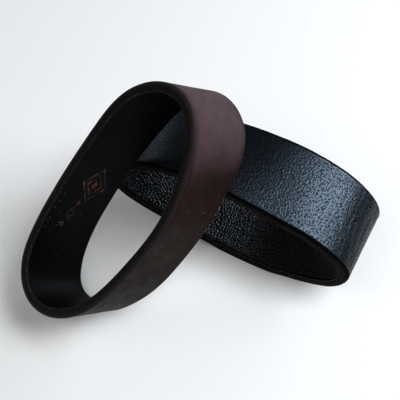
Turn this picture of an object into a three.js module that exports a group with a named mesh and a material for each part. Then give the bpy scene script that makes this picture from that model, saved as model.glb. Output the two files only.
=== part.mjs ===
// Pair of slip-on leather bands for holding a reed on a saxophone mouthpiece.
//
// Each band is a closed strap: a thin outer leather, a stiff core and a lining
// leather glued face to face, with a painted bead sealing both cut edges.  The
// black band lies on its wide wall.  The brown band stands on the low end of
// its loop and leans back against the black one.
//
// Millimetres, +Z up.  The origin is on the resting plane, under the centre of
// the pair's bounding box.  The black band's bore runs along Y.
//
// A band is described by the outline of its outer face at both rims, the near
// one (towards its own +w) and the far one (towards -w).  Every layer is an
// inward offset of those two outlines, joined by straight rulings.

import * as THREE from 'three';

// ---------------------------------------------------------------- dimensions
const SEGMENTS = 80;          // facets around a band
const GLUE_GAP = 0.04;        // clearance between glued layers
const EDGE_DEPTH = 0.30;      // how far an edge bead reaches into the strap

const BLACK = {
  width: 11.19,                // across the strap
  outer: 0.70,                // outer leather thickness
  core: 0.24,                 // core thickness
  lining: 0.58,               // lining leather thickness
  centre: [-0.259, 12.033, 0],
  u: [1, 0, 0], v: [0, 0, 1], w: [0, -1, 0],
  press: 0.35,                // depth of wall pressed flat where the band lies
  near: [
  [21.10, 7.54], [20.99, 9.37], [20.03, 11.00], [18.57, 12.36], [16.92, 13.43], [15.21, 14.24],
  [13.48, 14.81], [11.73, 15.23], [9.91, 15.57], [7.99, 15.91], [5.99, 16.27], [3.95, 16.64],
  [1.94, 16.96], [0.00, 17.18], [-1.85, 17.25], [-3.66, 17.17], [-5.48, 16.94], [-7.37, 16.57],
  [-9.34, 16.03], [-11.32, 15.26], [-13.23, 14.22], [-14.96, 12.85], [-16.38, 11.15], [-17.35, 9.21],
  [-17.65, 7.23], [-17.19, 5.55], [-16.13, 4.35], [-14.71, 3.56], [-13.06, 3.02], [-11.21, 2.58],
  [-9.22, 2.16], [-7.16, 1.72], [-5.10, 1.30], [-3.13, 0.91], [-1.27, 0.59], [0.51, 0.34],
  [2.27, 0.16], [4.07, 0.04], [5.95, 0.00], [7.87, 0.05], [9.80, 0.24], [11.67, 0.57],
  [13.45, 1.04], [15.15, 1.64], [16.78, 2.37], [18.33, 3.25], [19.63, 4.36], [20.54, 5.79],
],
  far: [
  [21.49, 9.88], [21.01, 11.79], [19.91, 13.47], [18.49, 14.83], [16.90, 15.93], [15.20, 16.80],
  [13.43, 17.48], [11.58, 17.98], [9.67, 18.34], [7.72, 18.57], [5.76, 18.68], [3.80, 18.67],
  [1.85, 18.57], [-0.09, 18.38], [-2.04, 18.11], [-3.98, 17.78], [-5.92, 17.41], [-7.81, 16.99],
  [-9.61, 16.54], [-11.30, 16.03], [-12.85, 15.43], [-14.22, 14.66], [-15.37, 13.65], [-16.18, 12.30],
  [-16.47, 10.58], [-16.15, 8.63], [-15.30, 6.72], [-14.09, 5.02], [-12.63, 3.58], [-11.03, 2.40],
  [-9.32, 1.49], [-7.54, 0.82], [-5.70, 0.38], [-3.81, 0.12], [-1.86, 0.01], [0.11, 0.01],
  [2.11, 0.10], [4.09, 0.27], [6.04, 0.52], [7.96, 0.85], [9.84, 1.29], [11.71, 1.83],
  [13.56, 2.47], [15.39, 3.23], [17.15, 4.11], [18.77, 5.16], [20.16, 6.43], [21.16, 8.01],
],
};

const BROWN = {
  width: 10.44,
  outer: 0.60,
  core: 0.18,
  lining: 0.49,
  centre: [-9.349, -1.903, 16.735],
  u: [0.31299, 0.63966, 0.70204], v: [-0.88383, 0.46677, -0.03125], w: [-0.34768, -0.61071, 0.71145],
  press: 0,
  near: [
  [18.84, 0.32], [18.28, 2.62], [16.99, 4.66], [15.26, 6.23], [13.39, 7.30], [11.54, 7.92],
  [9.78, 8.24], [8.08, 8.36], [6.41, 8.39], [4.78, 8.39], [3.20, 8.37], [1.67, 8.36],
  [0.18, 8.35], [-1.33, 8.32], [-2.93, 8.26], [-4.66, 8.16], [-6.51, 8.02], [-8.42, 7.81],
  [-10.32, 7.52], [-12.17, 7.12], [-13.97, 6.53], [-15.70, 5.62], [-17.22, 4.25], [-18.25, 2.40],
  [-18.54, 0.26], [-18.06, -1.88], [-16.94, -3.85], [-15.32, -5.54], [-13.40, -6.90], [-11.35, -7.92],
  [-9.35, -8.62], [-7.51, -9.07], [-5.84, -9.35], [-4.25, -9.55], [-2.65, -9.70], [-0.95, -9.83],
  [0.85, -9.92], [2.68, -9.94], [4.42, -9.87], [6.01, -9.68], [7.45, -9.39], [8.85, -9.02],
  [10.34, -8.53], [12.04, -7.87], [13.91, -6.97], [15.81, -5.71], [17.46, -4.04], [18.55, -1.98],
],
  far: [
  [19.63, 0.45], [19.18, 2.59], [18.12, 4.43], [16.64, 5.82], [14.96, 6.72], [13.26, 7.25],
  [11.60, 7.56], [9.93, 7.78], [8.14, 7.96], [6.16, 8.11], [3.96, 8.21], [1.62, 8.24],
  [-0.75, 8.18], [-3.01, 8.05], [-5.09, 7.88], [-7.00, 7.68], [-8.78, 7.43], [-10.53, 7.09],
  [-12.27, 6.63], [-14.00, 6.01], [-15.63, 5.20], [-17.03, 4.17], [-18.04, 2.92], [-18.55, 1.46],
  [-18.54, -0.06], [-18.08, -1.54], [-17.30, -2.91], [-16.26, -4.14], [-15.00, -5.23], [-13.54, -6.16],
  [-11.88, -6.97], [-10.02, -7.68], [-7.99, -8.27], [-5.79, -8.68], [-3.47, -8.90], [-1.09, -8.99],
  [1.29, -9.00], [3.58, -8.90], [5.72, -8.69], [7.66, -8.40], [9.42, -8.07], [11.04, -7.74],
  [12.61, -7.40], [14.20, -6.96], [15.79, -6.27], [17.31, -5.19], [18.58, -3.66], [19.41, -1.72],
],
};

// Foil motif pressed on the brown lining: two plain lozenges in a row.
const MOTIF = { thickness: 0.08, lift: 0.12, rows: 10 };
const MOTIF_LARGE = { around: 0.268, length: 5.4, across: 5.2, height: 5.0 };
const MOTIF_SMALL = { around: 0.330, length: 2.4, across: 4.0, height: 1.7 };

// ------------------------------------------------------------------ outlines
// Closed smooth curve through evenly spaced points, as a finite Fourier sum.
function closedCurve(points) {
  const n = points.length;
  const terms = [];
  for (let k = 0; k <= n / 2; k++) {
    const t = { k, au: 0, bu: 0, av: 0, bv: 0 };
    points.forEach(([u, v], i) => {
      const c = Math.cos((2 * Math.PI * k * i) / n);
      const s = Math.sin((2 * Math.PI * k * i) / n);
      t.au += u * c; t.bu += u * s; t.av += v * c; t.bv += v * s;
    });
    const scale = (k === 0 || 2 * k === n ? 1 : 2) / n;
    terms.push({ k, au: t.au * scale, bu: t.bu * scale, av: t.av * scale, bv: t.bv * scale });
  }
  return (a) => {
    let u = 0, v = 0, du = 0, dv = 0;
    for (const t of terms) {
      const p = 2 * Math.PI * t.k;
      const c = Math.cos(p * a), s = Math.sin(p * a);
      u += t.au * c + t.bu * s;
      v += t.av * c + t.bv * s;
      du += p * (t.bu * c - t.au * s);
      dv += p * (t.bv * c - t.av * s);
    }
    const l = Math.hypot(du, dv);
    return { u, v, nu: dv / l, nv: -du / l };
  };
}

// Point of a band: a = 0..1 around, m = mm from the near rim, d = mm below the
// outer face.
function bandPoint(band) {
  band.nearCurve ??= closedCurve(band.near);
  band.farCurve ??= closedCurve(band.far);
  const c = new THREE.Vector3(...band.centre);
  const U = new THREE.Vector3(...band.u);
  const V = new THREE.Vector3(...band.v);
  const W = new THREE.Vector3(...band.w);
  return (a, m, d) => {
    const n = band.nearCurve(a), f = band.farCurve(a);
    const s = m / band.width;
    const u = (n.u - d * n.nu) * (1 - s) + (f.u - d * f.nu) * s;
    const v = (n.v - d * n.nv) * (1 - s) + (f.v - d * f.nv) * s;
    const p = c.clone()
      .addScaledVector(U, u).addScaledVector(V, v)
      .addScaledVector(W, band.width / 2 - m);
    if (p.z < band.press) p.z = 0;
    else if (p.z < 2 * band.press) p.z = 2 * (p.z - band.press);
    return p;
  };
}

// -------------------------------------------------------------------- solids
function closedSolid(vertices, faces) {
  let volume = 0;
  const t = new THREE.Vector3();
  for (const [a, b, c] of faces) {
    volume += vertices[a].dot(t.crossVectors(vertices[b], vertices[c]));
  }
  const position = [];
  vertices.forEach((p) => position.push(p.x, p.y, p.z));
  const geometry = new THREE.BufferGeometry();
  geometry.setAttribute('position', new THREE.Float32BufferAttribute(position, 3));
  geometry.setIndex(faces.flatMap(([a, b, c]) => (volume > 0 ? [a, b, c] : [a, c, b])));
  geometry.computeVertexNormals();
  return geometry;
}

// Ring with a constant cross-section: profile is a loop of [m, d].
function ring(band, profile) {
  const at = bandPoint(band);
  const vertices = [], faces = [];
  const P = profile.length;
  for (let i = 0; i < SEGMENTS; i++) {
    for (const [m, d] of profile) vertices.push(at(i / SEGMENTS, m, d));
  }
  for (let i = 0; i < SEGMENTS; i++) {
    const j = (i + 1) % SEGMENTS;
    for (let p = 0; p < P; p++) {
      const q = (p + 1) % P;
      const A = i * P + p, B = j * P + p, C = j * P + q, D = i * P + q;
      // neighbouring layers share one choice of diagonal, so they never cross
      if (profile[p][0] <= profile[q][0]) faces.push([A, B, C], [A, C, D]);
      else faces.push([B, C, D], [B, D, A]);
    }
  }
  return closedSolid(vertices, faces);
}

function layer(band, d0, d1, across = 1) {
  const m0 = EDGE_DEPTH + GLUE_GAP, m1 = band.width - m0;
  const face = [];
  for (let i = 0; i <= across; i++) face.push([m0 + ((m1 - m0) * i) / across, d0]);
  return ring(band, [...face, [m1, d1], [m0, d1]]);
}

function bead(band, far) {
  const t = band.outer + band.core + band.lining + 2 * GLUE_GAP;
  const r = Math.min(0.22, t / 4);
  const side = (m) => (far ? band.width - m : m);
  return ring(band, [
    [side(EDGE_DEPTH), 0], [side(r * 0.3), r * 0.3], [side(0), r],
    [side(0), t - r], [side(r * 0.3), t - r * 0.3], [side(EDGE_DEPTH), t],
  ]);
}

// Thin lozenge lying on the inside of a band.
function lozenge(band, motif) {
  const at = bandPoint(band);
  const t = band.outer + band.core + band.lining + 2 * GLUE_GAP;
  const top = t + MOTIF.lift + MOTIF.thickness, low = t + MOTIF.lift;
  const girth = 92;
  const vertices = [], faces = [];
  const R = MOTIF.rows;
  for (let i = 0; i <= R; i++) {
    const x = (i / R) * 2 - 1;
    const half = (motif.height / 2) * (1 - Math.abs(x)) + 0.12;
    const a = motif.around + (x * motif.length) / 2 / girth;
    for (const [m, d] of [[-half, low], [half, low], [half, top], [-half, top]]) {
      vertices.push(at(a, motif.across + m, d));
    }
  }
  for (let i = 0; i < R; i++) {
    for (let p = 0; p < 4; p++) {
      const q = (p + 1) % 4, o = i * 4, n = o + 4;
      faces.push([o + p, n + p, n + q], [o + p, n + q, o + q]);
    }
  }
  const e = R * 4;
  faces.push([0, 1, 2], [0, 2, 3], [e, e + 2, e + 1], [e, e + 3, e + 2]);
  return closedSolid(vertices, faces);
}

// ------------------------------------------------------------------ assembly
const pair = new THREE.Group();

function add(name, geometry, color, roughness, metalness = 0) {
  const mesh = new THREE.Mesh(
    geometry, new THREE.MeshStandardMaterial({ color, roughness, metalness }));
  mesh.name = name;
  pair.add(mesh);
}

function addBand(prefix, band, colours) {
  const d1 = band.outer, d2 = d1 + GLUE_GAP + band.core, d3 = d2 + GLUE_GAP + band.lining;
  add(`${prefix}_outer_leather`, layer(band, 0, d1, 6), colours.outer, 0.5);
  add(`${prefix}_core`, layer(band, d1 + GLUE_GAP, d2), colours.core, 0.8);
  add(`${prefix}_lining_leather`, layer(band, d2 + GLUE_GAP, d3), colours.lining, 0.4);
  add(`${prefix}_edge_bead_near`, bead(band, false), colours.edge, 0.45);
  add(`${prefix}_edge_bead_far`, bead(band, true), colours.edge, 0.45);
}

addBand('black', BLACK, { outer: 0x1a1d24, core: 0x2b2623, lining: 0x0b0b0d, edge: 0x15110f });
addBand('brown', BROWN, { outer: 0x2b1c1c, core: 0x4a3a2c, lining: 0x0d0e11, edge: 0x1c120f });
add('brown_foil_motif_large', lozenge(BROWN, MOTIF_LARGE), 0x6b4423, 0.4, 1);
add('brown_foil_motif_small', lozenge(BROWN, MOTIF_SMALL), 0x6b4423, 0.4, 1);

export default pair;
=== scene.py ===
# A pair of slip-on leather bands for a saxophone mouthpiece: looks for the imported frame.
import bpy, math
import numpy as np
from mathutils import Matrix, Vector


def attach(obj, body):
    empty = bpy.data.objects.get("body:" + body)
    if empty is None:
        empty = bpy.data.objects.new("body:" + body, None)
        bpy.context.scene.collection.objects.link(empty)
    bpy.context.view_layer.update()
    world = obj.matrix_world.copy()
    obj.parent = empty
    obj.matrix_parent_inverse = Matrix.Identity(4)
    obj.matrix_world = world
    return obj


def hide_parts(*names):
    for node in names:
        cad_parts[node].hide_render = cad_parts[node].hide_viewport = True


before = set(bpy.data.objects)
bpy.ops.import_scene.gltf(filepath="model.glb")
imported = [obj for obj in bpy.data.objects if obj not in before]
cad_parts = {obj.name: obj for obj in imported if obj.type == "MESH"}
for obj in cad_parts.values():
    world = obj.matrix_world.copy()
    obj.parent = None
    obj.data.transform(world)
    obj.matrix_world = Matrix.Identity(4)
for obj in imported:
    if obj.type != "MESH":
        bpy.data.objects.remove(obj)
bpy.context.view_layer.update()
scene = bpy.context.scene

# ------------------------------------------------------------------ the bands
BLACK = dict(
    width=11.19, outer=0.70, core=0.24, lining=0.58, centre=[-0.259, 12.033, 0],
    u=[1, 0, 0], v=[0, 0, 1], w=[0, -1, 0], press=0.35,
    near=[
  [21.10, 7.54], [20.99, 9.37], [20.03, 11.00], [18.57, 12.36], [16.92, 13.43], [15.21, 14.24],
  [13.48, 14.81], [11.73, 15.23], [9.91, 15.57], [7.99, 15.91], [5.99, 16.27], [3.95, 16.64],
  [1.94, 16.96], [0.00, 17.18], [-1.85, 17.25], [-3.66, 17.17], [-5.48, 16.94], [-7.37, 16.57],
  [-9.34, 16.03], [-11.32, 15.26], [-13.23, 14.22], [-14.96, 12.85], [-16.38, 11.15], [-17.35, 9.21],
  [-17.65, 7.23], [-17.19, 5.55], [-16.13, 4.35], [-14.71, 3.56], [-13.06, 3.02], [-11.21, 2.58],
  [-9.22, 2.16], [-7.16, 1.72], [-5.10, 1.30], [-3.13, 0.91], [-1.27, 0.59], [0.51, 0.34],
  [2.27, 0.16], [4.07, 0.04], [5.95, 0.00], [7.87, 0.05], [9.80, 0.24], [11.67, 0.57],
  [13.45, 1.04], [15.15, 1.64], [16.78, 2.37], [18.33, 3.25], [19.63, 4.36], [20.54, 5.79],
],
    far=[
  [21.49, 9.88], [21.01, 11.79], [19.91, 13.47], [18.49, 14.83], [16.90, 15.93], [15.20, 16.80],
  [13.43, 17.48], [11.58, 17.98], [9.67, 18.34], [7.72, 18.57], [5.76, 18.68], [3.80, 18.67],
  [1.85, 18.57], [-0.09, 18.38], [-2.04, 18.11], [-3.98, 17.78], [-5.92, 17.41], [-7.81, 16.99],
  [-9.61, 16.54], [-11.30, 16.03], [-12.85, 15.43], [-14.22, 14.66], [-15.37, 13.65], [-16.18, 12.30],
  [-16.47, 10.58], [-16.15, 8.63], [-15.30, 6.72], [-14.09, 5.02], [-12.63, 3.58], [-11.03, 2.40],
  [-9.32, 1.49], [-7.54, 0.82], [-5.70, 0.38], [-3.81, 0.12], [-1.86, 0.01], [0.11, 0.01],
  [2.11, 0.10], [4.09, 0.27], [6.04, 0.52], [7.96, 0.85], [9.84, 1.29], [11.71, 1.83],
  [13.56, 2.47], [15.39, 3.23], [17.15, 4.11], [18.77, 5.16], [20.16, 6.43], [21.16, 8.01],
],
)
BROWN = dict(
    width=10.44, outer=0.60, core=0.18, lining=0.49, centre=[-9.349, -1.903, 16.735],
    u=[0.31299, 0.63966, 0.70204], v=[-0.88383, 0.46677, -0.03125], w=[-0.34768, -0.61071, 0.71145], press=0.0,
    near=[
  [18.84, 0.32], [18.28, 2.62], [16.99, 4.66], [15.26, 6.23], [13.39, 7.30], [11.54, 7.92],
  [9.78, 8.24], [8.08, 8.36], [6.41, 8.39], [4.78, 8.39], [3.20, 8.37], [1.67, 8.36],
  [0.18, 8.35], [-1.33, 8.32], [-2.93, 8.26], [-4.66, 8.16], [-6.51, 8.02], [-8.42, 7.81],
  [-10.32, 7.52], [-12.17, 7.12], [-13.97, 6.53], [-15.70, 5.62], [-17.22, 4.25], [-18.25, 2.40],
  [-18.54, 0.26], [-18.06, -1.88], [-16.94, -3.85], [-15.32, -5.54], [-13.40, -6.90], [-11.35, -7.92],
  [-9.35, -8.62], [-7.51, -9.07], [-5.84, -9.35], [-4.25, -9.55], [-2.65, -9.70], [-0.95, -9.83],
  [0.85, -9.92], [2.68, -9.94], [4.42, -9.87], [6.01, -9.68], [7.45, -9.39], [8.85, -9.02],
  [10.34, -8.53], [12.04, -7.87], [13.91, -6.97], [15.81, -5.71], [17.46, -4.04], [18.55, -1.98],
],
    far=[
  [19.63, 0.45], [19.18, 2.59], [18.12, 4.43], [16.64, 5.82], [14.96, 6.72], [13.26, 7.25],
  [11.60, 7.56], [9.93, 7.78], [8.14, 7.96], [6.16, 8.11], [3.96, 8.21], [1.62, 8.24],
  [-0.75, 8.18], [-3.01, 8.05], [-5.09, 7.88], [-7.00, 7.68], [-8.78, 7.43], [-10.53, 7.09],
  [-12.27, 6.63], [-14.00, 6.01], [-15.63, 5.20], [-17.03, 4.17], [-18.04, 2.92], [-18.55, 1.46],
  [-18.54, -0.06], [-18.08, -1.54], [-17.30, -2.91], [-16.26, -4.14], [-15.00, -5.23], [-13.54, -6.16],
  [-11.88, -6.97], [-10.02, -7.68], [-7.99, -8.27], [-5.79, -8.68], [-3.47, -8.90], [-1.09, -8.99],
  [1.29, -9.00], [3.58, -8.90], [5.72, -8.69], [7.66, -8.40], [9.42, -8.07], [11.04, -7.74],
  [12.61, -7.40], [14.20, -6.96], [15.79, -6.27], [17.31, -5.19], [18.58, -3.66], [19.41, -1.72],
],
)
GAP = 0.04
GIRTH = 92.0
for b in (BLACK, BROWN):
    b["wall"] = b["outer"] + b["core"] + b["lining"] + 2 * GAP


def curve(points, a):
    """Smooth closed curve through the points, and its outward normal, at a = 0..1."""
    p = np.array(points, float)
    n = len(p)
    f = np.fft.rfft(p, axis=0) / n
    k = np.arange(len(f))
    s = np.where((k == 0) | (2 * k == n), 1.0, 2.0)
    e = np.exp(2j * np.pi * np.outer(a, k)) * s
    pos = (e @ f).real
    d = ((e * (2j * np.pi * k)) @ f).real
    l = np.hypot(d[:, 0], d[:, 1])[:, None]
    return pos, np.c_[d[:, 1], -d[:, 0]] / l


def band_points(band, a, m, d):
    """Points for arrays a (around), m, d of the same shape, in metres."""
    shape = m.shape
    n, nn = band["_n"](a); f, fn = band["_f"](a)
    s = (m / band["width"])[..., None]
    uv = (n[:, None] - d[..., None] * nn[:, None]) * (1 - s) + (f[:, None] - d[..., None] * fn[:, None]) * s
    U, V, W = (np.array(band[k], float) for k in "uvw")
    p = np.array(band["centre"]) + uv[..., :1] * U + uv[..., 1:] * V + (band["width"] / 2 - m)[..., None] * W
    if band["press"] > 0:
        # the underside is pressed flat where it meets the surface it lies on
        z, k = p[..., 2], band["press"]
        p[..., 2] = np.where(z < k, 0.0, np.where(z < 2 * k, 2 * (z - k), z))
    else:
        p[..., 2] = np.maximum(p[..., 2], 0.01)
    return p * 0.001


for b in (BLACK, BROWN):
    b["_n"] = (lambda q: (lambda a: curve(q, a)))(b["near"])
    b["_f"] = (lambda q: (lambda a: curve(q, a)))(b["far"])


# -------------------------------------------------------------- relief fields
def hash2(i, j, seed):
    """Repeatable pseudo-random numbers 0..1 for integer lattice points."""
    h = (i.astype(np.int64) * 374761393 + j.astype(np.int64) * 668265263 + seed * 2147483647) & 0xFFFFFFFF
    h = ((h ^ (h >> 13)) * 1274126177) & 0xFFFFFFFF
    h = (h ^ (h >> 16)) & 0xFFFFFFFF
    return h / 4294967295.0


def noise(s, m, cs, cm, seed, girth=GIRTH):
    """Smooth value noise, cells of cs by cm mm, closed around the girth, -1..1."""
    nc = max(1, int(round(girth / cs)))
    x = s / girth * nc
    y = m / cm + 1000.0
    i, j = np.floor(x).astype(int), np.floor(y).astype(int)
    fx, fy = x - i, y - j
    fx, fy = fx * fx * fx * (fx * (fx * 6 - 15) + 10), fy * fy * fy * (fy * (fy * 6 - 15) + 10)
    g = lambda a, b: hash2((i + a) % nc, j + b, seed)
    return 2 * ((g(0, 0) * (1 - fx) + g(1, 0) * fx) * (1 - fy) + (g(0, 1) * (1 - fx) + g(1, 1) * fx) * fy) - 1


def pebbles(s, m, cell, seed, girth=GIRTH, stretch=1.0):
    """Grain of raised pebbles parted by creases: 0 in a crease, 1 on a pebble."""
    nc = int(round(girth / cell))
    x = s / girth * nc
    y = m / (cell * stretch) + 1000.0
    i0, j0 = np.floor(x).astype(int), np.floor(y).astype(int)
    f1 = np.full(x.shape, 9.0); f2 = np.full(x.shape, 9.0)
    for di in (-1, 0, 1):
        for dj in (-1, 0, 1):
            i, j = i0 + di, j0 + dj
            px = i + 0.5 + 0.86 * (hash2(i % nc, j, seed) - 0.5)
            py = j + 0.5 + 0.86 * (hash2(i % nc, j, seed + 7) - 0.5)
            d = np.hypot(px - x, py - y)
            nf1 = np.minimum(f1, d)
            f2 = np.minimum(f2, np.maximum(f1, d))
            f1 = nf1
    e = np.clip((f2 - f1) / 0.42, 0, 1)
    return e * e * (3 - 2 * e)


def pits(s, m, cell, seed, girth=GIRTH):
    """Ground with short sunk worms in it: 0 in a pit, 1 on the ground."""
    nc = int(round(girth / cell))
    x = s / girth * nc
    y = m / cell + 1000.0
    i0, j0 = np.floor(x).astype(int), np.floor(y).astype(int)
    f = np.full(x.shape, 9.0)
    for di in (-1, 0, 1):
        for dj in (-1, 0, 1):
            i, j = (i0 + di), j0 + dj
            ih = i % nc
            dx = x - (i + 0.5 + 0.8 * (hash2(ih, j, seed) - 0.5))
            dy = y - (j + 0.5 + 0.8 * (hash2(ih, j, seed + 7) - 0.5))
            th = math.pi * hash2(ih, j, seed + 13)
            lx, ly = dx * np.cos(th) + dy * np.sin(th), dy * np.cos(th) - dx * np.sin(th)
            grow = 0.75 + 0.5 * hash2(ih, j, seed + 17)
            f = np.minimum(f, np.hypot(lx / (1.55 * grow), ly / (0.78 * grow)))
    e = np.clip((f - 0.10) / 0.26, 0, 1)
    return e * e * (3 - 2 * e)


# ---------------------------------------------------------------------- mesh
def grid_object(name, P, uv, grain=None, closed_profile=True, cap=False):
    """Quad mesh from a grid of points that closes around both ways."""
    na, n = P.shape[:2]
    i = np.arange(na)[:, None]; p = np.arange(n if closed_profile else n - 1)[None]
    j = (i + 1) % na; q = (p + 1) % n
    faces = np.stack([i * n + p, j * n + p, j * n + q, i * n + q], -1).reshape(-1, 4)
    V = P.reshape(-1, 3)
    T = V[faces]
    vol = np.einsum("ij,ij->i", T[:, 0], np.cross(T[:, 1], T[:, 2])).sum() + np.einsum(
        "ij,ij->i", T[:, 0], np.cross(T[:, 2], T[:, 3])).sum()
    U0 = uv[:, :, 0]; V0 = uv[:, :, 1]
    iu = np.stack([np.broadcast_to(i, faces.shape[:1] and (na, p.size)), np.broadcast_to(i + 1, (na, p.size)),
                   np.broadcast_to(i + 1, (na, p.size)), np.broadcast_to(i, (na, p.size))], -1)
    ip = np.stack([np.broadcast_to(p, (na, p.size)), np.broadcast_to(p, (na, p.size)),
                   np.broadcast_to(p + 1, (na, p.size)), np.broadcast_to(p + 1, (na, p.size))], -1)
    girth_uv = uv_wrap(uv)
    luv = girth_uv[iu, ip].reshape(-1, 4, 2)
    if vol < 0:
        faces = faces[:, ::-1]; luv = luv[:, ::-1]
    me = bpy.data.meshes.new(name)
    me.vertices.add(len(V)); me.vertices.foreach_set("co", V.astype(np.float32).ravel())
    me.loops.add(faces.size); me.loops.foreach_set("vertex_index", faces.astype(np.int32).ravel())
    me.polygons.add(len(faces))
    me.polygons.foreach_set("loop_start", np.arange(0, faces.size, 4, dtype=np.int32))
    me.polygons.foreach_set("use_smooth", np.ones(len(faces), bool))
    me.update(calc_edges=True)
    me.validate()
    layer = me.uv_layers.new(name="strap")
    layer.data.foreach_set("uv", luv.astype(np.float32).ravel())
    if grain is not None:
        at = me.color_attributes.new("grain", "FLOAT_COLOR", "POINT")
        g = np.repeat(np.clip(grain.reshape(-1, 1), 0, 1), 4, 1); g[:, 3] = 1
        at.data.foreach_set("color", g.astype(np.float32).ravel())
    ob = bpy.data.objects.new(name, me)
    scene.collection.objects.link(ob)
    return ob


def uv_wrap(uv):
    """Adds the closing row and column so the map has no backward jump."""
    last = uv[:1].copy(); last[..., 0] += 1.0
    w = np.concatenate([uv, last], 0)
    lastp = w[:, :1].copy(); lastp[..., 1] = w[:, -1, 1][:, None] + 0.01
    return np.concatenate([w, lastp], 1)


def ring(name, band, prof, na, disp=None, rim=None, depth=False):
    """prof: rows of (m, d, side) round the cross-section; side +1 outer face, -1 inner face, 0 hidden or edge."""
    prof = np.array(prof, float)
    a = np.arange(na) / na
    s = a[:, None] * GIRTH + 0 * prof[None, :, 0]
    m = prof[None, :, 0] + 0 * s
    d = prof[None, :, 1] + 0 * s
    side = prof[None, :, 2] + 0 * s
    grain = None
    if rim is not None:
        # hand-cut rims wander a little; the shift fades out towards mid-width
        wn, wf = rim
        sn = noise(s, 0 * s, 7.0, 1.0, wn) * 0.05 + noise(s, 0 * s, 2.3, 1.0, wn + 3) * 0.018
        sf = noise(s, 0 * s, 7.0, 1.0, wf) * 0.05 + noise(s, 0 * s, 2.3, 1.0, wf + 3) * 0.018
        x = m / band["width"]
        m = m + sn * (1 - x) + sf * x
    # the strap's own soft waviness is shared by all of its layers
    wav = 0.07 * noise(s, m, 17.0, 14.0, band["seed"]) + 0.03 * noise(s, m, 6.0, 9.0, band["seed"] + 1)
    d = d - wav
    if disp is not None:
        h, grain = disp(s, m, side)
        d = d - h * side
    if depth:
        grain = np.broadcast_to(np.clip(prof[None, :, 1] / band["wall"], 0, 1), m.shape).copy()
    P = band_points(band, a, m, d)
    L = np.r_[0, np.cumsum(np.hypot(np.diff(prof[:, 0]), np.diff(prof[:, 1])))]
    uv = np.stack([np.broadcast_to(a[:, None], m.shape), np.broadcast_to(L[None] / 30.0, m.shape)], -1)
    return grid_object(name, P, uv, grain)


BLACK["seed"], BROWN["seed"] = 11, 23


def sheet_profile(band, m0, d0, d1, n, face):
    """Cross-section of one leather layer; its finely divided face is 'outer' or 'inner'."""
    m1 = band["width"] - m0
    x = np.linspace(m0, m1, n)
    if face == "outer":
        rows = [(q, d0, 1) for q in x]
        rows += [(m1, d1, 0), ((m0 + m1) / 2, d1, 0), (m0, d1, 0)]
    else:
        rows = [(q, d1, -1) for q in x]
        rows += [(m1, d0, 0), ((m0 + m1) / 2, d0, 0), (m0, d0, 0)]
    return rows


def edge_profile(band, far, reach, groove=(), power=0.62, n=30, proud=0.012):
    """Rounded cut edge over the whole wall: groove lists (depth, width, sink) of layer lines."""
    t = band["wall"]
    th = np.linspace(-math.pi / 2, math.pi / 2, n)
    sd = np.sign(np.sin(th)) * np.abs(np.sin(th)) ** power
    d = t / 2 + (t / 2 + proud) * sd
    m = reach * (1 - np.abs(np.cos(th)) ** power)
    for g, w, k in groove:
        m = m + k * np.exp(-(((d - g) / w) ** 2))
    rows = [((band["width"] - q) if far else q, e, 0) for q, e in zip(m, d)]
    rows.append((rows[-1][0], t * 0.5, 0))
    return rows


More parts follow.
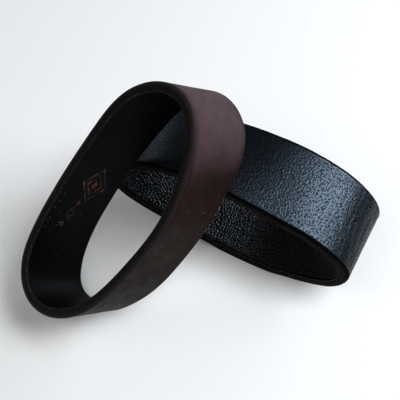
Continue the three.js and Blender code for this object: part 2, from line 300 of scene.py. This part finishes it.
# ----------------------------------------------------------------- materials
class Nodes:
    def __init__(self, name):
        self.mat = bpy.data.materials.new(name)
        self.mat.use_nodes = True
        self.t = self.mat.node_tree
        self.b = self.t.nodes["Principled BSDF"]
        self.co = self.t.nodes.new("ShaderNodeTexCoord").outputs["Object"]

    def new(self, kind, **kw):
        n = self.t.nodes.new(kind)
        for k, v in kw.items():
            setattr(n, k, v)
        return n

    def link(self, a, b):
        self.t.links.new(a, b)

    def put(self, sock, v):
        if hasattr(v, "is_output"):
            self.link(v, sock)
        else:
            sock.default_value = v

    def noise(self, scale, detail=3.0, rough=0.55, distort=0.0, co=None):
        n = self.new("ShaderNodeTexNoise")
        n.inputs["Scale"].default_value = scale
        n.inputs["Detail"].default_value = detail
        n.inputs["Roughness"].default_value = rough
        n.inputs["Distortion"].default_value = distort
        self.link(co or self.co, n.inputs["Vector"])
        return n.outputs["Fac"]

    def voronoi(self, scale, feature="DISTANCE_TO_EDGE", co=None, rand=1.0):
        n = self.new("ShaderNodeTexVoronoi", feature=feature)
        n.inputs["Scale"].default_value = scale
        n.inputs["Randomness"].default_value = rand
        self.link(co or self.co, n.inputs["Vector"])
        return n.outputs["Distance"]

    def ramp(self, v, a, b, lo=0.0, hi=1.0, smooth=True):
        n = self.new("ShaderNodeMapRange", interpolation_type="SMOOTHSTEP" if smooth else "LINEAR")
        self.put(n.inputs["Value"], v)
        for k, x in (("From Min", a), ("From Max", b), ("To Min", lo), ("To Max", hi)):
            n.inputs[k].default_value = x
        return n.outputs["Result"]

    def math(self, op, a, b=0.0, c=0.0):
        n = self.new("ShaderNodeMath", operation=op)
        self.put(n.inputs[0], a); self.put(n.inputs[1], b); self.put(n.inputs[2], c)
        return n.outputs[0]

    def mix(self, f, a, b):
        n = self.new("ShaderNodeMix", data_type="RGBA")
        self.put(n.inputs[0], f)
        self.put(n.inputs[6], a if hasattr(a, "is_output") else (*a, 1))
        self.put(n.inputs[7], b if hasattr(b, "is_output") else (*b, 1))
        return n.outputs[2]

    def bump(self, h, dist, strength=1.0, normal=None):
        n = self.new("ShaderNodeBump")
        n.inputs["Strength"].default_value = strength
        n.inputs["Distance"].default_value = dist
        self.put(n.inputs["Height"], h)
        if normal is not None:
            self.link(normal, n.inputs["Normal"])
        return n.outputs["Normal"]

    def grain(self):
        n = self.new("ShaderNodeAttribute", attribute_name="grain")
        return n.outputs["Fac"]

    def uv(self):
        n = self.new("ShaderNodeUVMap", uv_map="strap")
        s = self.new("ShaderNodeSeparateXYZ")
        self.link(n.outputs["UV"], s.inputs[0])
        return s.outputs[0], s.outputs[1], n.outputs["UV"]

    def stretched(self, sx, sy):
        """Strap coordinates: x round the band, y across it, both scaled."""
        u, v, uv = self.uv()
        m = self.new("ShaderNodeMapping")
        self.link(uv, m.inputs["Vector"])
        m.inputs["Scale"].default_value = (92.0 * sx, 30.0 * sy, 1)
        return m.outputs["Vector"]

    def done(self, color, rough, normal=None, **sockets):
        self.put(self.b.inputs["Base Color"], color if hasattr(color, "is_output") else (*color, 1))
        self.put(self.b.inputs["Roughness"], rough)
        if normal is not None:
            self.link(normal, self.b.inputs["Normal"])
        for k, v in sockets.items():
            self.b.inputs[k.replace("_", " ")].default_value = v
        return self.mat


def mat_black_outer():
    n = Nodes("black_pebbled_leather")
    g = n.grain()
    u, v, uv = n.uv()
    big = n.noise(230, 3)
    fine = n.noise(5200, 3, 0.6)
    pit = n.voronoi(3100, "F1")
    # colour is darker in the pits and creases of the grain: painted shade in the recesses
    c = n.mix(n.ramp(g, 0.05, 0.8), (0.0006, 0.0007, 0.0009), (0.0030, 0.0035, 0.0045))
    c = n.mix(n.ramp(big, 0.35, 0.7, 0, 0.5), c, (0.0022, 0.0025, 0.0032))
    r = n.math("ADD", n.ramp(g, 0.05, 0.75, 0.72, 0.265), n.ramp(big, 0.3, 0.7, -0.02, 0.03))
    h = n.math("ADD", n.math("MULTIPLY", fine, 0.55), n.math("MULTIPLY", pit, 0.45))
    # the wax finish has gone dull over the crown of the loop and at the sharp end bend
    wob = n.math("ADD", u, n.math("MULTIPLY", n.math("SUBTRACT", big, 0.5), 0.03))
    shine = n.math("MAXIMUM", n.ramp(wob, 0.170, 0.240, 0.48, 0.23), n.ramp(wob, 0.31, 0.36, 0.23, 0.32))
    shine = n.math("MULTIPLY", shine, n.ramp(wob, 0.03, 0.075, 0.70, 1.08))
    n.put(n.b.inputs["Specular IOR Level"], shine)
    return n.done(c, r, n.bump(h, 0.000022, 0.9), Specular_Tint=(0.56, 0.77, 1.0, 1))


def mat_black_lining():
    n = Nodes("black_coarse_lining")
    g = n.grain()
    big = n.noise(200, 3)
    fine = n.noise(4300, 3, 0.6)
    u, v, uv = n.uv()
    dull = n.math("MULTIPLY", n.ramp(u, 0.49, 0.53), n.ramp(u, 0.62, 0.67, 1.0, 0.0))
    # colour is darker in the creases between pebbles and where the grain value is lowered: painted shade
    c = n.mix(n.ramp(g, 0.1, 0.8), (0.0005, 0.0006, 0.0007), (0.0010, 0.0012, 0.0014))
    r = n.math("ADD", n.ramp(g, 0.1, 0.9, 0.6, 0.13), n.ramp(big, 0.3, 0.7, -0.02, 0.04))
    rubbed = n.math("MULTIPLY", n.ramp(u, 0.75, 0.84), n.ramp(u, 0.95, 0.99, 1.0, 0.0))
    n.put(n.b.inputs["Specular IOR Level"], n.math("MULTIPLY", n.ramp(dull, 0.0, 1.0, 0.44, 0.26), n.ramp(rubbed, 0.0, 1.0, 1.0, 0.6)))
    return n.done(c, r, n.bump(fine, 0.000014, 0.7), Specular_Tint=(0.78, 0.89, 1.0, 1))


def mat_edge(name, dark, outer, line, lines, rough=0.5, spec=0.2, skin=0.3):
    """Cut edge: grain runs 0..1 from the outer face to the lining; lines are pale bands along the layers' own cut
    edges, and the one nearest the lining is a painted highlight on the rounded inner corner.
    """
    n = Nodes(name)
    g = n.grain()
    streak = n.noise(1.0, 4, 0.6, co=n.stretched(0.9, 14.0))
    dots = n.noise(1.0, 3, 0.7, co=n.stretched(2.6, 3.0))
    blot = n.noise(420, 3)
    fine = n.noise(6000, 2)
    c = n.mix(n.ramp(g, skin - 0.12, skin + 0.12), outer, dark)
    c = n.mix(n.ramp(streak, 0.45, 0.75, 0, 0.5), c, outer)
    for at, wide, most in lines:
        near_line = n.ramp(n.math("ABSOLUTE", n.math("SUBTRACT", g, at)), 0.0, wide, 1.0, 0.0)
        c = n.mix(n.math("MULTIPLY", near_line, n.ramp(dots, 0.45, 0.60, 0.05 * most, most)), c, line)
    c = n.mix(n.ramp(blot, 0.55, 0.8, 0, 0.3), c, outer)
    r = n.ramp(streak, 0.3, 0.7, rough - 0.08, rough + 0.12)
    h = n.math("ADD", n.math("MULTIPLY", streak, 0.8), n.math("MULTIPLY", fine, 0.25))
    return n.done(c, r, n.bump(h, 0.00005, 0.8), Specular_IOR_Level=spec)


def mat_brown_outer():
    n = Nodes("brown_smooth_leather")
    u, v, uv = n.uv()
    big = n.noise(95, 4, 0.6)
    mid = n.noise(620, 4, 0.6)
    fine = n.noise(5200, 3, 0.65)
    pore = n.voronoi(2600, "F1")
    vein = n.noise(1.0, 4, 0.6, 0.6, co=n.stretched(0.55, 1.6))
    # the leather is painted paler and redder over the upper side of the loop, as painted light from the lamp above,
    # and deeper and olive further down, as painted shade
    wob = n.math("MULTIPLY", n.math("SUBTRACT", big, 0.5), 0.05)
    q = n.math("ADD", u, wob)
    painted_top_light = n.math("ADD", n.ramp(q, 0.868, 0.948), n.ramp(q, 0.10, 0.30, 1.0, 0.0))
    painted_top_light = n.math("MINIMUM", painted_top_light, 1.0)
    olive = n.ramp(n.math("ABSOLUTE", n.math("SUBTRACT", q, 0.68)), 0.05, 0.13, 1.0, 0.0)
    shaded_low_colour = n.mix(olive, (0.0108, 0.0042, 0.0034), (0.0078, 0.0042, 0.0018))
    c = n.mix(painted_top_light, shaded_low_colour, (0.0535, 0.0322, 0.0355))
    # darker where the dye was burnished in along the rims
    x = n.math("MULTIPLY", v, 30.0)
    rim = n.math("MULTIPLY", n.ramp(x, 0.0, 1.0, 0.45, 1.0), n.ramp(x, 8.9, 9.7, 1.0, 0.55))
    shade = n.mix(n.ramp(mid, 0.4, 0.75, 0, 0.5), (1.0, 1.0, 1.0), (0.66, 0.66, 0.64))
    shade = n.mix(n.ramp(vein, 0.5, 0.8, 0, 0.6), shade, (1.22, 1.2, 1.2))
    m = n.new("ShaderNodeMix", data_type="RGBA", blend_type="MULTIPLY")
    m.inputs[0].default_value = 1.0
    n.link(c, m.inputs[6]); n.link(shade, m.inputs[7])
    c = n.mix(rim, (0.0040, 0.0030, 0.0029), m.outputs[2])
    speck = n.voronoi(330, "F1")
    c = n.mix(n.ramp(speck, 0.03, 0.06, 0.55, 0), c, (0.12, 0.095, 0.085))
    r = n.math("ADD", n.ramp(mid, 0.3, 0.7, 0.52, 0.64), n.ramp(fine, 0.3, 0.7, -0.03, 0.03))
    h = n.math("ADD", n.math("MULTIPLY", fine, 0.6), n.math("MULTIPLY", pore, 0.5))
    h = n.math("ADD", h, n.math("MULTIPLY", mid, 0.9))
    return n.done(c, r, n.bump(h, 0.00003, 0.8), Specular_IOR_Level=0.045, Specular_Tint=(1.0, 0.9, 0.92, 1))


def mat_brown_lining():
    n = Nodes("smooth_black_lining")
    big = n.noise(150, 3)
    fine = n.noise(3800, 3, 0.6)
    vein = n.noise(1.0, 3, 0.6, 0.4, co=n.stretched(0.7, 0.5))
    c = n.mix(n.ramp(big, 0.3, 0.7), (0.0006, 0.0008, 0.0008), (0.0013, 0.0017, 0.0019))
    c = n.mix(n.ramp(vein, 0.55, 0.8, 0, 0.4), c, (0.0024, 0.0028, 0.003))
    r = n.ramp(big, 0.3, 0.7, 0.42, 0.54)
    return n.done(c, r, n.bump(n.math("ADD", fine, vein), 0.000018, 0.8), Specular_IOR_Level=0.035,
                  Specular_Tint=(0.75, 0.88, 1.0, 1))


def mat_core():
    n = Nodes("core_board")
    f = n.noise(1800, 4, 0.7)
    c = n.mix(n.ramp(f, 0.3, 0.7), (0.05, 0.04, 0.032), (0.10, 0.082, 0.066))
    return n.done(c, n.ramp(f, 0.3, 0.7, 0.75, 0.9), n.bump(f, 0.00004, 0.8))


def mat_foil():
    n = Nodes("worn_copper_foil")
    wear = n.noise(1500, 4, 0.7)
    wear2 = n.noise(420, 3, 0.6)
    k = n.math("ADD", n.math("MULTIPLY", wear, 0.6), n.math("MULTIPLY", wear2, 0.4))
    k = n.ramp(k, 0.46, 0.57)
    c = n.mix(k, (0.0018, 0.0016, 0.0015), (0.115, 0.044, 0.020))
    n.put(n.b.inputs["Metallic"], n.ramp(k, 0.0, 1.0, 0.0, 0.85))
    return n.done(c, n.ramp(wear, 0.3, 0.7, 0.36, 0.55), n.bump(wear, 0.00003, 0.9), Specular_IOR_Level=0.08)


def mat_fleck():
    n = Nodes("pale_fleck")
    f = n.noise(3000, 2)
    c = n.mix(n.ramp(f, 0.3, 0.7), (0.07, 0.062, 0.056), (0.30, 0.28, 0.26))
    return n.done(c, 0.6, n.bump(f, 0.00001))


M_BO, M_BL = mat_black_outer(), mat_black_lining()
M_WO, M_WL = mat_brown_outer(), mat_brown_lining()
# the pale line nearest the lining (0.90 here, 0.93 on the brown edge) is a painted highlight on the rounded inner
# corner; the other line marks a layer's cut edge
M_BE = mat_edge("black_edge_paint", (0.0006, 0.0006, 0.0006), (0.0011, 0.0011, 0.0010), (0.15, 0.14, 0.122),
                ((0.50, 0.030, 0.8), (0.90, 0.05, 0.8)), 0.55, 0.020)
M_WE = mat_edge("brown_edge_paint", (0.0030, 0.0027, 0.0026), (0.0150, 0.0106, 0.0102), (0.085, 0.070, 0.058),
                ((0.62, 0.03, 0.15), (0.93, 0.07, 0.55)), 0.58, 0.08, 0.34)
M_CORE, M_FOIL, M_FLECK = mat_core(), mat_foil(), mat_fleck()


def finish_piece(ob, mat, body, nodes):
    ob.data.materials.append(mat)
    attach(ob, body)
    if nodes:
        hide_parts(*nodes)
    return ob


# -------------------------------------------------------------------- pieces
def smooth(x, a, b):
    t = np.clip((x - a) / (b - a), 0, 1)
    return t * t * (3 - 2 * t)


def edge_fade(m, width, r=0.9):
    return smooth(m, 0.3, r) * smooth(width - m, 0.3, r)


def black_outer_relief(s, m, side):
    w = BLACK["width"]
    a = s / GIRTH
    warp_s = s + 0.13 * noise(s, m, 0.7, 0.7, 101)
    warp_m = m + 0.13 * noise(s, m, 0.7, 0.7, 102)
    p = pits(warp_s, warp_m, 0.38, 5)
    g2 = pebbles(warp_s, warp_m, 0.42, 9)
    # smoother where the hide was stretched at the left end
    calm = 1.0 - 0.6 * np.exp(-(((a - 0.40 + 0.5) % 1.0 - 0.5) / 0.06) ** 2)
    amp = (0.85 + 0.3 * noise(s, m, 9.0, 5.0, 31)) * calm
    bend = np.exp(-(((a - BEND_A + 0.5) % 1.0 - 0.5) / 0.06) ** 2)
    cr = noise(s, m, 0.75, 5.5, 41) * 0.6 + noise(s, m, 1.5, 8.0, 43) * 0.6
    crease = -np.clip(0.25 - np.abs(cr), 0, 1) / 0.25 * bend
    f = edge_fade(m, w)
    h = (0.024 * amp * (p - 0.7) + 0.022 * amp * (g2 - 0.5)) * (0.25 + 0.75 * f) + 0.05 * crease * f
    h = h * (side > 0)
    # the grain value also takes in the bend creases, so the material paints them darker as painted shade
    return h, np.clip((0.6 * p + 0.4 * g2) * p * calm + (1 - calm) * 0.6 + 0.5 * crease, 0, 1)


def black_lining_relief(s, m, side):
    w = BLACK["width"]
    warp_s = s + 0.2 * noise(s, m, 1.1, 1.1, 201)
    warp_m = m + 0.2 * noise(s, m, 1.1, 1.1, 202)
    g = pebbles(warp_s, warp_m, 0.52, 15)
    a = s / GIRTH
    # rubbed smoother along the middle of the lower wall and at the right end; there the grain value is also lowered,
    # which paints the lining darker as painted shade
    worn_and_shaded = smooth(a, 0.76, 0.83) * (1 - smooth(a, 0.95, 1.0))
    amp = 1.0 - 0.72 * worn_and_shaded
    g3 = noise(s, m, 0.34, 0.34, 205)
    f = edge_fade(m, w)
    return (0.13 * (g - 0.5) + 0.02 * g3) * amp * (0.3 + 0.7 * f) * (side < 0), g * (1 - 0.35 * worn_and_shaded)


def brown_outer_relief(s, m, side):
    g = 0.5 + 0.5 * noise(s, m, 0.5, 0.5, 61)
    h = 0.006 * (g - 0.5) + 0.012 * noise(s, m, 2.4, 3.0, 63)
    return h * (side > 0), g


def brown_lining_relief(s, m, side):
    g = 0.5 + 0.5 * noise(s, m, 0.6, 0.6, 71)
    h = 0.006 * (g - 0.5) + 0.02 * noise(s, m, 3.0, 4.0, 73)
    return h * (side < 0), g


BEND_A = 0.02
NA = 760
REACH = 0.36
START = REACH + 0.01


def make_band(prefix, band, outer_relief, lining_relief, mats, rims, groove_near, groove_far, fine):
    body = prefix + "_band"
    t1 = band["outer"]
    t2 = t1 + GAP + band["core"] + GAP
    t3 = band["wall"]
    o = ring(prefix + "_outer_skin", band, sheet_profile(band, START, 0.0, t1 - 0.02, fine[1], "outer"), fine[0], outer_relief, rims)
    finish_piece(o, mats[0], body, [prefix + "_outer_leather"])
    l = ring(prefix + "_lining_skin", band, sheet_profile(band, START, t2 + 0.02, t3, fine[1], "inner"), fine[0], lining_relief, rims)
    finish_piece(l, mats[1], body, [prefix + "_lining_leather"])
    e = ring(prefix + "_edge_near", band, edge_profile(band, False, REACH, groove_near), NA, None, rims, True)
    finish_piece(e, mats[2], body, [prefix + "_edge_bead_near"])
    e = ring(prefix + "_edge_far", band, edge_profile(band, True, REACH, groove_far), NA, None, rims, True)
    finish_piece(e, mats[2], body, [prefix + "_edge_bead_far"])


make_band("black", BLACK, black_outer_relief, black_lining_relief, (M_BO, M_BL, M_BE), (301, 302),
          ((0.74, 0.05, 0.07), (1.02, 0.045, 0.06)), ((0.74, 0.05, 0.06),), (1080, 124))
make_band("brown", BROWN, brown_outer_relief, brown_lining_relief, (M_WO, M_WL, M_WE), (311, 312),
          ((0.86, 0.05, 0.05),), ((0.86, 0.05, 0.05),), (640, 72))

for node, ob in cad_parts.items():
    if node.endswith("_core"):
        ob.data.materials.clear()
        ob.data.materials.append(M_CORE)


# Foil motif: plain lozenges pressed on the brown lining.
def lozenge_piece(name, marks, mat, nodes, lift=0.012, thick=0.03):
    """Each mark is (a, m, half length mm, half height mm, hollow 0..1)."""
    V, F = [], []
    t = BROWN["wall"]
    for a0, m0, hl, hh, hollow in marks:
        K = 12
        out = []
        for k in range(4 * K):
            side, x = divmod(k, K)
            x /= K
            c = [(1, 0), (0, 1), (-1, 0), (0, -1), (1, 0)]
            p = np.array(c[side]) * (1 - x) + np.array(c[side + 1]) * x
            out.append(p)
        out = np.array(out)
        rings = [(1.0, lift), (1.0, lift + thick), (hollow, lift + thick), (hollow, lift)]
        n = len(out)
        base = len(V)
        for sc, dd in rings:
            x = a0 + out[:, 0] * sc * hl / GIRTH
            m = m0 + out[:, 1] * sc * hh
            wav = 0.07 * noise(x * GIRTH, m, 17.0, 14.0, BROWN["seed"]) + 0.03 * noise(x * GIRTH, m, 6.0, 9.0, BROWN["seed"] + 1)
            rel, _ = brown_lining_relief(x * GIRTH, m, -np.ones_like(m))
            P = band_points(BROWN, x, m[:, None], (t + dd - wav + rel)[:, None])
            V += P.reshape(-1, 3).tolist()
        R = len(rings)
        for r in range(R):
            for k in range(n):
                F.append((base + r * n + k, base + r * n + (k + 1) % n, base + ((r + 1) % R) * n + (k + 1) % n, base + ((r + 1) % R) * n + k))
    me = bpy.data.meshes.new(name)
    me.from_pydata(V, [], F)
    me.update()
    ob = bpy.data.objects.new(name, me)
    scene.collection.objects.link(ob)
    import bmesh
    bm = bmesh.new(); bm.from_mesh(me)
    bmesh.ops.recalc_face_normals(bm, faces=bm.faces)
    bm.to_mesh(me); bm.free()
    return finish_piece(ob, mat, "brown_band", nodes)


A1, A2, M1, M2 = 0.268, 0.330, 5.4, 4.0
lozenge_piece("foil_lozenges", [(A1, M1, 3.1, 2.5, 0.84), (A1, M1, 2.0, 1.6, 0.76), (A1, M1, 0.75, 0.6, 0.25)], M_FOIL,
              ["brown_foil_motif_large"])
lozenge_piece("foil_small_lozenges", [(A2, M2, 1.3, 0.95, 0.45), (A2 + 0.024, M2 - 0.5, 0.6, 0.45, 0.15),
              (A2 - 0.022, M2 + 0.4, 0.5, 0.4, 0.1)], M_FOIL, ["brown_foil_motif_small"])


def flecks(name, band, places, inner, body):
    """Tiny pale specks on the leather: (a, m, size mm)."""
    V, F = [], []
    ico_v = []
    for k in range(3):
        for q in range(6):
            el = (-0.6, 0.0, 0.75)[k]
            th = math.pi / 3 * (q + 0.5 * (k % 2))
            ico_v.append((math.cos(el) * math.cos(th), math.cos(el) * math.sin(th), math.sin(el)))
    for idx, (a0, m0, size) in enumerate(places):
        base = len(V)
        one = np.ones((1, 1))
        av = np.array([a0])
        h0 = band["wall"] if inner else 0.0
        sd = -1.0 if inner else 1.0
        s0 = one * a0 * GIRTH; mm = one * m0
        wav = 0.07 * noise(s0, mm, 17.0, 14.0, band["seed"]) + 0.03 * noise(s0, mm, 6.0, 9.0, band["seed"] + 1)
        pts = [(x, y, z) for x, y, z in ico_v] + [(0, 0, -0.9), (0, 0, 1.05)]
        for q, (x, y, z) in enumerate(pts):
            jx = 0.7 + 0.6 * float(hash2(np.array([idx]), np.array([q]), 501)[0])
            dd = -sd * (0.45 * size * (z * jx + 0.55))
            p = band_points(band, av + x * size * jx / GIRTH, mm + y * size * jx * 0.8, one * (h0 + dd) - wav)
            V.append(p.reshape(3).tolist())
        for k in range(2):
            for q in range(6):
                a_, b_ = base + k * 6 + q, base + k * 6 + (q + 1) % 6
                c_, d_ = base + (k + 1) * 6 + q, base + (k + 1) * 6 + (q + 1) % 6
                if k % 2 == 0:
                    F += [(a_, b_, c_), (b_, d_, c_)]
                else:
                    F += [(a_, b_, d_), (a_, d_, c_)]
        lo_, hi_ = base + 18, base + 19
        for q in range(6):
            F += [(lo_, base + (q + 1) % 6, base + q), (hi_, base + 12 + q, base + 12 + (q + 1) % 6)]
    me = bpy.data.meshes.new(name)
    me.from_pydata(V, [], F)
    me.update()
    import bmesh
    bm = bmesh.new(); bm.from_mesh(me)
    bmesh.ops.recalc_face_normals(bm, faces=bm.faces)
    bm.to_mesh(me); bm.free()
    for p in me.polygons:
        p.use_smooth = True
    ob = bpy.data.objects.new(name, me)
    scene.collection.objects.link(ob)
    return finish_piece(ob, M_FLECK, body, [])


flecks("brown_lining_specks", BROWN, [(0.325, 5.95, 0.09), (0.317, 0.9, 0.08), (0.330, 0.7, 0.06), (0.349, 0.9, 0.10),
       (0.356, 0.8, 0.07), (0.367, 0.8, 0.07), (0.352, 3.0, 0.10), (0.358, 2.7, 0.07), (0.342, 4.6, 0.05),
       (0.371, 1.9, 0.05), (0.300, 1.0, 0.06), (0.412, 4.9, 0.04), (0.336, 2.2, 0.05)], True, "brown_band")
flecks("brown_outer_specks", BROWN, [(0.8179, 7.14, 0.075), (0.8266, 3.44, 0.06), (0.951, 4.8, 0.05), (0.845, 8.6, 0.05),
       (0.78, 5.2, 0.05)], False, "brown_band")
flecks("black_specks", BLACK, [(0.392, 4.4, 0.07), (0.60, 5.0, 0.06)], False, "black_band")

# ---------------------------------------------------------------------- stage
bpy.ops.mesh.primitive_plane_add(size=3.0, location=(0, 0, 0))
floor = bpy.context.object
floor.name = "floor"
fn = Nodes("pale_floor")
floor.data.materials.append(fn.done(fn.mix(fn.noise(6, 2), (0.88, 0.88, 0.88), (0.91, 0.91, 0.91)), 0.7, Specular_IOR_Level=0.1))

world = bpy.data.worlds.new("studio")
scene.world = world
world.use_nodes = True
world.node_tree.nodes["Background"].inputs[0].default_value = (0.92, 0.95, 1.0, 1)
world.node_tree.nodes["Background"].inputs[1].default_value = 0.07


def area(name, az, el, dist, size, power, color, target=(0.004, 0.004, 0.012), spread=180):
    """Softbox: az is measured from +X towards +Y."""
    a, e = math.radians(az), math.radians(el)
    d = Vector((math.cos(a) * math.cos(e), math.sin(a) * math.cos(e), math.sin(e)))
    li = bpy.data.lights.new(name, "AREA")
    li.shape = "RECTANGLE"
    li.size, li.size_y = size
    li.energy = power
    li.color = color
    li.spread = math.radians(spread)
    ob = bpy.data.objects.new(name, li)
    scene.collection.objects.link(ob)
    ob.location = Vector(target) + d * dist
    ob.rotation_mode = "QUATERNION"
    ob.rotation_quaternion = d.to_track_quat("Z", "Y")
    return ob


area("window", 18, 55, 0.30, (0.12, 0.20), 0.84, (0.94, 0.975, 1.0))
area("back_strip", 66, 13, 0.34, (0.24, 0.12), 0.74, (0.90, 0.945, 1.0))
area("front_lamp", -74, 63, 0.32, (0.03, 0.03), 0.075, (1.0, 1.0, 1.0))
area("left_fill", 156, 22, 0.40, (0.12, 0.08), 0.045, (1.0, 1.0, 1.0))
area("front_wash", -125, 53, 0.55, (0.45, 0.35), 0.72, (1.0, 0.985, 0.965))

# --------------------------------------------------------------------- camera
cam = bpy.data.cameras.new("camera")
cam.lens = 66.278
cam.sensor_width = 36.0
cam.clip_start, cam.clip_end = 0.005, 10.0
co = bpy.data.objects.new("camera", cam)
scene.collection.objects.link(co)
right, up, back = (Vector(v) for v in ((0.888078, 0.459692, 0.0), (-0.388378, 0.750307, 0.534978), (0.245925, -0.475102, 0.844866)))
R = Matrix((right, up, back)).transposed()
co.matrix_world = Matrix.Translation(Vector((0.023543, -0.043761, 0.101499))) @ R.to_4x4()
scene.camera = co
scene.view_settings.view_transform = "Standard"
scene.view_settings.look = "None"
